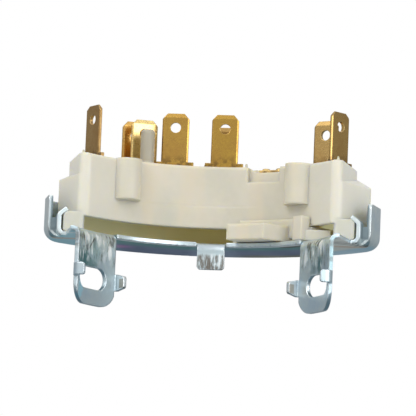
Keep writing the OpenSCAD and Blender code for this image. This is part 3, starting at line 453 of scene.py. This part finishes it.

# marks of wear, film tint, painted shade and a painted glow: bearing in degrees, height, half width, half
# height in millimetres, lean, colour, strength; the deep teal and shaded spots are painted shade on the ears
# and the centre tab, and the slot glow spot is a painted glow
darkSpots = (
    (-70.0, -7.0, 3.2, 2.8, 0.0, "deepTealShade", 1.0),
    (-64.5, -7.8, 3.6, 1.4, -0.6, "deepTealShade", 0.75),
    (-71.5, -13.8, 1.7, 3.4, 0.3, "slotGlow", 0.9),
    (0.0, -0.8, 5.0, 1.1, 0.0, "shaded", 0.8),
    (76.0, -5.0, 0.6, 5.0, 0.0, "teal", 0.8),
    (76.0, -2.4, 0.5, 0.9, 0.0, "scratch", 0.6),
    (76.0, -6.0, 0.5, 0.7, 0.0, "scratch", 0.5),
    (-60.0, -5.0, 2.6, 3.0, 0.0, "teal", 0.6),
    (-69.4, -2.8, 0.4, 2.3, -0.5, "scratch", 0.85),
    (-63.0, -3.2, 0.35, 1.6, 0.8, "scratch", 0.8),
    (61.0, -1.4, 0.5, 1.1, 0.7, "scratch", 0.9),
    (63.4, -1.8, 0.4, 1.4, 0.7, "scratch", 0.8),
    (58.6, -1.2, 0.4, 0.7, 0.7, "scratch", 0.8),
    (63.0, -6.6, 1.4, 2.8, 0.0, "deepTealShade", 0.8),
    (57.0, -7.4, 2.2, 1.4, 0.0, "deepTealShade", 0.4),
)
# scuffed places, painted bare, which are partly painted highlights where dents and rolled edges catch the
# light: bearing, height, half width, half height, lean, strength
brightSpots = (
    (-66.4, -1.9, 0.9, 1.6, -0.2, 0.8),
    (-50.2, -4.4, 0.7, 2.2, 0.0, 0.8),
    (-57.0, -2.6, 0.9, 1.1, 0.5, 0.35),
    (-53.5, -6.0, 0.6, 1.4, 0.0, 0.3),
    (62.2, -2.2, 0.4, 1.2, 0.7, 0.6),
    (50.4, -4.4, 0.8, 2.4, 0.1, 0.55),
)


def placeSpot(tree, bearing, height, wide, tall, lean):
    made = useGroup(tree, spot, Bearing=math.radians(bearing), Height=height / 1000, Wide=wide / 1000,
                    Tall=tall / 1000, Lean=lean)
    return made["Mask"]


# bands of the film under the plate: distances from the column's axis, X and Y in metres, bearings in
# radians; the slit is a spot, given as in the table of dark spots
undersideZones = {
    "bandStretch": (0.30, 6.0),
    "bandScale": 130.0,
    "bandWander": 0.012,
    "blue": (0.0335, 0.0385),
    "plumLeft": (-0.45, -0.62),
    "plumInner": (0.0375, 0.0395),
    "plumOuter": (0.0445, 0.0420),
    "straw": (0.0425, 0.0460),
    "strawRight": (0.0, 0.25),
    "slit": (36.5, -0.95, 3.6, 9.0, 0.0),
    "slitOuter": (0.0332, 0.0326),
    "leftEndReflection": (-0.020, -0.033),
    "rightEndReflection": (0.0235, 0.0285),
    "rightBlueReflection": (0.0405, 0.0435),
    "rustFront": (0.0205, 0.0225),
    "rustBack": (0.0250, 0.0230),
    "rustBearing": (0.80, 0.95),
}


def zincUnderside(tree, apart, distance, lift):
    # the passivated film runs in bands round the column; towards both ends it is painted paler and bluer, a
    # painted reflection
    look, zones = zincLook, undersideZones
    angle = bearingOf(tree, apart)
    banded = cylinderPlace(tree, apart, *zones["bandStretch"])
    wander = product(tree, evenNoise(tree, banded, zones["bandScale"], detail=2.0), zones["bandWander"])
    track = maths(tree, "ADD", distance, wander)
    colour = mixColours(tree, mapRange(tree, track, *zones["blue"]), look["lowerTeal"], look["lowerBlue"])
    plum = product(tree, mapRange(tree, angle, *zones["plumLeft"]),
                   between(tree, track, zones["plumInner"], zones["plumOuter"]))
    colour = mixColours(tree, plum, colour, look["lowerPlum"])
    straw = product(tree, mapRange(tree, track, *zones["straw"]), mapRange(tree, angle, *zones["strawRight"]))
    colour = mixColours(tree, product(tree, straw, look["strawShare"]), colour, look["lowerStraw"])
    slit = product(tree, placeSpot(tree, *zones["slit"]), mapRange(tree, distance, *zones["slitOuter"]))
    colour = mixColours(tree, slit, colour, look["scratch"])
    # painted reflection: both ends of the underside are painted pale and blue
    colour = mixColours(tree, mapRange(tree, apart["X"], *zones["leftEndReflection"]), colour, look["leftEndReflection"])
    outward = mapRange(tree, distance, *zones["rightBlueReflection"])
    right = mixColours(tree, outward, look["rightEndReflection"], look["rightBlueReflection"])
    colour = mixColours(tree, mapRange(tree, apart["X"], *zones["rightEndReflection"]), colour, right)
    rusty = product(tree, between(tree, apart["Y"], zones["rustFront"], zones["rustBack"]),
                    mapRange(tree, maths(tree, "ABSOLUTE", angle), *zones["rustBearing"]))
    colour = mixColours(tree, product(tree, rusty, look["rustShare"]), colour, look["rust"])
    lifted = addNode(tree, "ShaderNodeVectorMath", operation="SCALE")
    feed(tree, lifted, 0, colour)
    feed(tree, lifted, "Scale", lift)
    # the mix makes the scaled vector a colour again
    return mixColours(tree, 1.0, colour, lifted.outputs["Vector"])


# the rest of the bracket: distances from the column's axis, heights and Y in metres, bearings in radians
bracketZones = {
    "wall": (0.0312, 0.0322),
    "plate": (0.0310, 0.0318),
    "plateTop": (0.0001, -0.0009),
    "plateTopAhead": (-0.0007, -0.00088),
    "ahead": (0.0204, 0.0214),
    "drawn": (0.0314, 0.0308),
    "drawnFoot": (-0.0085, -0.0060),
    "drawnTop": (-0.0003, -0.0012),
    "centreTab": (0.125, 0.105),
    "scoredTop": (-0.0026, -0.0034),
    "unscored": (-0.0032, -0.0024),
    "innerTab": (0.0291, 0.0288),
    "innerTabBearing": (0.92, 0.88),
    "innerTabTop": -0.008,
    "recessOuter": (0.0283, 0.0281),
    "recessInner": (0.02670, 0.02685),
    "recessTop": (-0.0104, -0.0106),
    "recessFoot": (-0.0128, -0.0125),
    "webInner": (0.0394, 0.0400),
    "webOuter": (0.0424, 0.0419),
    "webFoot": (0.0002, 0.0008),
    "webBack": 0.0212,
}


def plateMask(tree, apart, distance):
    # 1 on the plate's underside; ahead, by the claws, it ends lower, which keeps it off their roots
    zones = bracketZones
    below = mapRange(tree, apart["Z"], *zones["plateTop"])
    belowAhead = mapRange(tree, apart["Z"], *zones["plateTopAhead"])
    below = mixNumbers(tree, mapRange(tree, apart["Y"], *zones["ahead"]), belowAhead, below)
    return product(tree, mapRange(tree, distance, *zones["plate"]), below)


# marks left by folding: two noises along the draw, and the levels at which each mark shows
drawMarks = {
    "lineStretch": 0.14,
    "lineScale": 1300.0,
    "lineRoughness": 0.65,
    "mottleStretch": 0.40,
    "mottleScale": 620.0,
    "mottleRoughness": 0.6,
    "share": 0.5,
    "groove": (0.48, 0.40),
    "score": (0.55, 0.46),
    "streak": (0.53, 0.61),
    "worn": (0.50, 0.58),
    "recess": (0.40, 0.50),
    "recessShares": (1.0, 0.75),
}


def drawNoise(tree, apart):
    # streaks that run down the ears and the centre tab from their folds
    values = drawMarks
    linePlace = cylinderPlace(tree, apart, 1.0, values["lineStretch"])
    lines = noise(tree, linePlace, values["lineScale"], roughness=values["lineRoughness"])
    mottlePlace = cylinderPlace(tree, apart, 1.0, values["mottleStretch"])
    mottle = noise(tree, mottlePlace, values["mottleScale"], roughness=values["mottleRoughness"])
    return maths(tree, "ADD", product(tree, lines, values["share"]), product(tree, mottle, values["share"]))


def innerTabs(tree, colour, marks, height, distance, turn):
    # the inner tabs are bright, with a brown coined recess
    look, zones = zincLook, bracketZones
    tab = product(tree, mapRange(tree, distance, *zones["innerTab"]),
                  mapRange(tree, turn, *zones["innerTabBearing"]),
                  maths(tree, "LESS_THAN", height, zones["innerTabTop"]))
    colour = mixColours(tree, product(tree, tab, look["tabShare"]), colour, look["bare"])
    coined = product(tree, between(tree, distance, zones["recessOuter"], zones["recessInner"]),
                     between(tree, height, zones["recessTop"], zones["recessFoot"]), tab,
                     mapRange(tree, marks, *drawMarks["recess"], *drawMarks["recessShares"]))
    return mixColours(tree, coined, colour, look["recess"])


def makeZinc():
    look, zones = zincLook, bracketZones
    material, tree, shader = newMaterial("zinc plate")
    apart = splitPlace(tree, objectPlace(tree))
    height = apart["Z"]
    distance = columnDistance(tree, apart)
    turn = maths(tree, "ABSOLUTE", bearingOf(tree, apart))
    film = useGroup(tree, stains, **look["film"])["Mask"]
    tint = useGroup(tree, stains, **look["tint"])["Mask"]
    colour = mixColours(tree, mapRange(tree, distance, *zones["wall"]), look["grey"], look["wall"])
    colour = mixColours(tree, product(tree, film, look["tealShare"]), colour, look["teal"])
    colour = mixColours(tree, product(tree, tint, look["blueShare"]), colour, look["blue"])
    plate = plateMask(tree, apart, distance)
    colour = mixColours(tree, plate, colour, zincUnderside(tree, apart, distance, 1.0))
    marks = drawNoise(tree, apart)
    drawn = product(tree, mapRange(tree, distance, *zones["drawn"]),
                    between(tree, height, zones["drawnFoot"], zones["drawnTop"]))
    # the centre tab is smooth at its fold and scored far deeper below it
    onTab = mapRange(tree, turn, *zones["centreTab"])
    scored = product(tree, onTab, mapRange(tree, height, *zones["scoredTop"]))
    unscored = product(tree, onTab, mapRange(tree, height, *zones["unscored"]))
    drawn = product(tree, drawn, maths(tree, "SUBTRACT", 1.0, unscored))
    groove = product(tree, mapRange(tree, marks, *drawMarks["groove"]), drawn, look["grooveShare"])
    colour = mixColours(tree, groove, colour, look["scratch"])
    scores = product(tree, mapRange(tree, marks, *drawMarks["score"]), scored, look["scoredShare"])
    colour = mixColours(tree, scores, colour, look["scored"])
    # wear marks and film tint, with painted shade and a painted glow from the deep teal, shaded and slot glow
    # spots
    for *place, name, strength in darkSpots:
        colour = mixColours(tree, product(tree, placeSpot(tree, *place), strength), colour, look[name])
    streak = product(tree, mapRange(tree, marks, *drawMarks["streak"]), drawn, look["streakShare"])
    worn = product(tree, mapRange(tree, marks, *drawMarks["worn"]), scored, look["wornShare"])
    scuffsAndHighlights = maths(tree, "MAXIMUM", streak, worn)
    # the bright spots add painted highlights to the scuffs
    for *place, strength in brightSpots:
        scuffsAndHighlights = maths(tree, "MAXIMUM", scuffsAndHighlights, product(tree, placeSpot(tree, *place), strength))
    colour = mixColours(tree, scuffsAndHighlights, colour, look["bare"])
    colour = innerTabs(tree, colour, marks, height, distance, turn)
    edges = useGroup(tree, edgeWear, Width=look["edgeWidth"], Unevenness=look["edgeUnevenness"])
    colour = mixColours(tree, product(tree, edges["Mask"], look["edgeShare"]), colour, look["bare"])
    # the low sheet between each end wall and its claw is dull
    web = product(tree, between(tree, distance, zones["webInner"], zones["webOuter"]),
                  mapRange(tree, height, *zones["webFoot"]),
                  maths(tree, "LESS_THAN", apart["Y"], zones["webBack"]))
    colour = mixColours(tree, product(tree, web, look["webShare"]), colour, look["web"])
    feed(tree, shader, "Base Color", colour)
    dulled = product(tree, scuffsAndHighlights, look["scuffDullness"])
    feed(tree, shader, "Metallic", maths(tree, "SUBTRACT", 1.0, dulled))
    # at a grazing view the film keeps its own colour, lifted into a painted reflection brighter than the film
    # itself
    lifted = zincUnderside(tree, apart, distance, look["paintedReflectionLift"])
    feed(tree, shader, "Specular Tint", mixColours(tree, plate, look["grazing"], lifted))
    rough = maths(tree, "ADD", addRoughness(tree, film, look), product(tree, web, look["webRoughness"]))
    feed(tree, shader, "Roughness", rough)
    skin = useGroup(tree, grain, Scale=look["grainScale"])["Height"]
    ridges = product(tree, marks, drawn, look["drawHeight"] / look["grainHeight"])
    surface = maths(tree, "ADD", skin, ridges)
    addBump(tree, shader, surface, look["grainStrength"], look["grainHeight"], edges["Normal"])
    return material


brassLook = {
    "pale": (0.95, 0.74, 0.36),
    "stain": (0.36, 0.19, 0.06),
    "dark": (0.16, 0.09, 0.04),
    "stainScale": 150.0,
    "stainStep": 17.0,
    "stainSoftness": 0.2,
    "stainShare": 0.7,
    "darkScale": 330.0,
    "darkStep": 11.0,
    "darkSoftness": 0.1,
    "darkShare": 0.6,
    "fleckScale": 2600.0,
    "fleckRoughness": 0.7,
    "fleck": (0.45, 0.62),
    "fleckShare": 0.25,
    "grimeScale": 900.0,
    "grimeRoughness": 0.6,
    "grime": (0.40, 0.62),
    "grimeHeight": (0.0222, 0.0190),
    "grimeShare": 0.7,
    "roughness": 0.26,
    "roughnessSpread": 0.14,
    "edgeWidth": 0.00018,
    "edgeShare": 0.6,
    "grainScale": 1900.0,
    "grainStrength": 0.35,
    "grainHeight": 0.000008,
}


def makeBrass(name, colour, stainCover, darkCover, seed):
    # the seed shifts the size of the stains, so that no two blades look alike
    look = brassLook
    material, tree, shader = newMaterial(name)
    cloud = useGroup(tree, stains, Scale=look["stainScale"] + look["stainStep"] * seed, Cover=stainCover,
                     Softness=look["stainSoftness"])["Mask"]
    patch = useGroup(tree, stains, Scale=look["darkScale"] + look["darkStep"] * seed, Cover=darkCover,
                     Softness=look["darkSoftness"])["Mask"]
    tone = mixColours(tree, product(tree, cloud, look["stainShare"]), colour, look["stain"])
    tone = mixColours(tree, product(tree, patch, look["darkShare"]), tone, look["dark"])
    place = objectPlace(tree)
    flecks = noise(tree, place, look["fleckScale"], detail=2.0, roughness=look["fleckRoughness"])
    flecks = mapRange(tree, flecks, *look["fleck"], 0.0, look["fleckShare"])
    tone = mixColours(tree, flecks, tone, look["stain"])
    # grime gathers where the blade leaves the roof
    grime = noise(tree, place, look["grimeScale"], roughness=look["grimeRoughness"])
    grime = product(tree, mapRange(tree, grime, *look["grime"]),
                    mapRange(tree, splitPlace(tree, place)["Z"], *look["grimeHeight"]), look["grimeShare"])
    tone = mixColours(tree, grime, tone, look["dark"])
    edges = useGroup(tree, edgeWear, Width=look["edgeWidth"])
    tone = mixColours(tree, product(tree, edges["Mask"], look["edgeShare"]), tone, look["pale"])
    feed(tree, shader, "Base Color", tone)
    shader.inputs["Metallic"].default_value = 1.0
    feed(tree, shader, "Roughness", addRoughness(tree, cloud, look))
    skin = useGroup(tree, grain, Scale=look["grainScale"])
    addBump(tree, shader, skin["Height"], look["grainStrength"], look["grainHeight"], edges["Normal"])
    return material


plainMetalLook = {
    "cloud": {"Scale": 400.0, "Cover": 0.5, "Softness": 0.25},
    "roughnessSpread": 0.12,
    "edgeWidth": 0.0001,
    "grainScale": 2500.0,
    "grainStrength": 0.3,
    "grainHeight": 0.000006,
}


def makePlainMetal(name, colour, shade, roughness):
    look = {**plainMetalLook, "roughness": roughness}
    material, tree, shader = newMaterial(name)
    cloud = useGroup(tree, stains, **look["cloud"])["Mask"]
    feed(tree, shader, "Base Color", mixColours(tree, cloud, colour, shade))
    shader.inputs["Metallic"].default_value = 1.0
    feed(tree, shader, "Roughness", addRoughness(tree, cloud, look))
    edges = useGroup(tree, edgeWear, Width=look["edgeWidth"])
    skin = useGroup(tree, grain, Scale=look["grainScale"])
    addBump(tree, shader, skin["Height"], look["grainStrength"], look["grainHeight"], edges["Normal"])
    return material


def dress(nodeName, material):
    mesh = nodes[nodeName].data
    mesh.materials.clear()
    mesh.materials.append(material)


# the hollow's mask starts below the housing's foot, but on the carrier above its arm
housingLowest = -0.001
carrierLowest = 0.0039
dress("housing", makeNylon("ivory nylon", housingLowest, nylonLook["glowRight"]))
dress("carrier", makeNylon("carrier nylon", carrierLowest, nylonLook["glowEnd"]))
dress("bracket", makeZinc())

# each blade has aged in its own way: base colour, cover of brown stain and of dark patches
bladeLooks = {
    "low_signal_terminal": ((0.80, 0.50, 0.15), 0.40, 0.16),
    "low_feed_terminal": ((0.55, 0.36, 0.15), 0.45, 0.12),
    "drive_signal_terminal": ((0.95, 0.72, 0.30), 0.20, 0.02),
    "drive_feed_terminal": ((0.60, 0.37, 0.085), 0.30, 0.06),
    "backup_feed_terminal": ((0.58, 0.36, 0.075), 0.30, 0.08),
    "backup_lamp_terminal": ((0.48, 0.32, 0.11), 0.40, 0.20),
    "start_relay_terminal": ((0.62, 0.42, 0.16), 0.35, 0.12),
    "start_feed_terminal": ((0.57, 0.37, 0.13), 0.30, 0.08),
    "feed_link": ((0.86, 0.62, 0.26), 0.25, 0.06),
    "feed_link_rivet_left": ((0.86, 0.64, 0.28), 0.20, 0.05),
    "feed_link_rivet_right": ((0.86, 0.64, 0.28), 0.20, 0.05),
}
for seed, (nodeName, (colour, stainCover, darkCover)) in enumerate(bladeLooks.items()):
    dress(nodeName, makeBrass("brass of " + nodeName.replace("_", " "), colour, stainCover, darkCover, seed))

# metals inside the switch: clean colour, shaded colour, roughness, and the pieces made of them
innerMetals = {
    "strip bronze": ((0.62, 0.36, 0.16), (0.42, 0.22, 0.09), 0.28, ("start_bridge", "selector_bridge")),
    "contact silver": ((0.80, 0.79, 0.76), (0.60, 0.58, 0.54), 0.22,
                       ("start_bridge_buttons", "selector_bridge_buttons")),
    "spring steel": ((0.42, 0.43, 0.45), (0.25, 0.25, 0.26), 0.3, ("start_spring", "selector_spring")),
}
for metalName, (colour, shade, roughness, pieces) in innerMetals.items():
    metal = makePlainMetal(metalName, colour, shade, roughness)
    for nodeName in pieces:
        dress(nodeName, metal)
print("materials made")


floorLook = {
    "radius": 1.6,
    "segments": 96,
    "gap": 0.0003,
    "colour": (0.82, 0.82, 0.81),
    "roughness": 0.7,
}


def makeFloor():
    # pale from above, and clear from below, where the photograph's camera stands
    look = floorLook
    mesh = bpy.data.meshes.new("floor")
    shape = bmesh.new()
    bmesh.ops.create_circle(shape, cap_ends=True, segments=look["segments"], radius=look["radius"],
                            matrix=Matrix.Translation((0, 0, solidBox[0].z - look["gap"])))
    shape.to_mesh(mesh)
    shape.free()
    floor = bpy.data.objects.new("floor", mesh)
    bpy.context.scene.collection.objects.link(floor)
    floor.visible_glossy = False
    material, tree, shader = newMaterial("floor")
    feed(tree, shader, "Base Color", look["colour"])
    shader.inputs["Roughness"].default_value = look["roughness"]
    clear = addNode(tree, "ShaderNodeBsdfTransparent")
    side = addNode(tree, "ShaderNodeNewGeometry")
    mix = addNode(tree, "ShaderNodeMixShader")
    feed(tree, mix, 0, side.outputs["Backfacing"])
    feed(tree, mix, 1, shader.outputs["BSDF"])
    feed(tree, mix, 2, clear.outputs["BSDF"])
    tree.links.new(mix.outputs[0], tree.nodes["Material Output"].inputs["Surface"])
    mesh.materials.append(material)


# the studio round the part: the camera sees plain white, and the part is lit by these tones;
# each pair of a direction's values is where a tone sets in and where it is full
worldLook = {
    "seen": (1.0, 1.0, 1.0),
    "front": (0.95, 0.95, 0.94),
    "frontFrom": (0.4, -1.0),
    "back": (0.55, 0.57, 0.585),
    "above": (1.5, 1.5, 1.48),
    "aboveFrom": (0.70, 0.92),
    "below": (0.16, 0.23, 0.27),
    "belowFrom": (-0.1, -0.75),
    "strength": 0.72,
}


def makeWorld():
    look = worldLook
    world = bpy.data.worlds.new("studio")
    bpy.context.scene.world = world
    world.use_nodes = True
    tree = world.node_tree
    background = tree.nodes["Background"]
    apart = splitPlace(tree, addNode(tree, "ShaderNodeTexCoord").outputs["Generated"])
    tone = mixColours(tree, mapRange(tree, apart["Y"], *look["frontFrom"]), look["back"], look["front"])
    tone = mixColours(tree, mapRange(tree, apart["Z"], *look["aboveFrom"]), tone, look["above"])
    tone = mixColours(tree, mapRange(tree, apart["Z"], *look["belowFrom"]), tone, look["below"])
    feed(tree, background, "Color", tone)
    background.inputs["Strength"].default_value = look["strength"]
    plain = addNode(tree, "ShaderNodeBackground")
    feed(tree, plain, "Color", look["seen"])
    mix = addNode(tree, "ShaderNodeMixShader")
    feed(tree, mix, 0, addNode(tree, "ShaderNodeLightPath").outputs["Is Camera Ray"])
    feed(tree, mix, 1, background.outputs[0])
    feed(tree, mix, 2, plain.outputs[0])
    tree.links.new(mix.outputs[0], tree.nodes["World Output"].inputs["Surface"])


# name: place, size across and up, power, colour
lights = {
    "key": ((-0.42, -0.50, 0.50), (0.55, 0.45), 2.6, (1.0, 0.985, 0.965)),
    "fill": ((0.55, -0.50, 0.20), (0.50, 0.50), 2.2, (0.975, 0.985, 1.0)),
    "low": ((0.05, -0.60, -0.45), (0.60, 0.30), 1.0, (1.0, 0.99, 0.97)),
    "back": ((0.0, 0.60, 0.55), (0.70, 0.40), 0.7, (1.0, 1.0, 1.0)),
}
lightTarget = Vector((0, 0.03, 0.005))


def aimed(place, target):
    turn = (target - Vector(place)).to_track_quat("-Z", "Y").to_matrix().to_4x4()
    return Matrix.Translation(place) @ turn


def makeLights():
    for name, (place, size, power, colour) in lights.items():
        lamp = bpy.data.lights.new(name, "AREA")
        lamp.shape = "RECTANGLE"
        lamp.size, lamp.size_y = size
        lamp.energy = power
        lamp.color = colour
        made = bpy.data.objects.new(name, lamp)
        made.matrix_world = aimed(place, lightTarget)
        bpy.context.scene.collection.objects.link(made)


# worked out from the photograph: turn, rise and roll of the view in degrees, distances in metres,
# and the focal length, the middle of the view and the picture's size in pixels
cameraLook = {
    "turn": 4.18,
    "rise": 8.18,
    "roll": 2.34,
    "distance": 0.9,
    "target": (0.0, 0.035, 0.005),
    "focalPixels": 3834.0,
    "centre": (213.71, 224.88),
    "imageSize": 416.0,
    "sensorWidth": 36.0,
    "nearest": 0.01,
}


def makeCamera():
    look = cameraLook
    turn, rise, roll = (math.radians(look[key]) for key in ("turn", "rise", "roll"))
    ahead = Vector((-math.sin(turn) * math.cos(rise), math.cos(turn) * math.cos(rise), math.sin(rise)))
    right = Vector((math.cos(turn), math.sin(turn), 0))
    up = right.cross(ahead)
    # the picture's right side hangs lower, so the camera is rolled the other way
    rolledRight = right * math.cos(roll) + up * math.sin(roll)
    rolledUp = up * math.cos(roll) - right * math.sin(roll)
    data = bpy.data.cameras.new("photograph")
    data.sensor_width = look["sensorWidth"]
    data.lens = look["focalPixels"] / look["imageSize"] * look["sensorWidth"]
    data.clip_start = look["nearest"]
    data.shift_x = -(look["centre"][0] - look["imageSize"] / 2) / look["imageSize"]
    data.shift_y = (look["centre"][1] - look["imageSize"] / 2) / look["imageSize"]
    camera = bpy.data.objects.new("photograph", data)
    place = Vector(look["target"]) - ahead * look["distance"]
    camera.matrix_world = Matrix.Translation(place) @ Matrix((
        (rolledRight.x, rolledUp.x, -ahead.x, 0),
        (rolledRight.y, rolledUp.y, -ahead.y, 0),
        (rolledRight.z, rolledUp.z, -ahead.z, 0),
        (0, 0, 0, 1)))
    bpy.context.scene.collection.objects.link(camera)
    bpy.context.scene.camera = camera


makeFloor()
makeWorld()
makeLights()
makeCamera()
bpy.context.scene.view_settings.view_transform = "Standard"
print("stage, light and camera made")
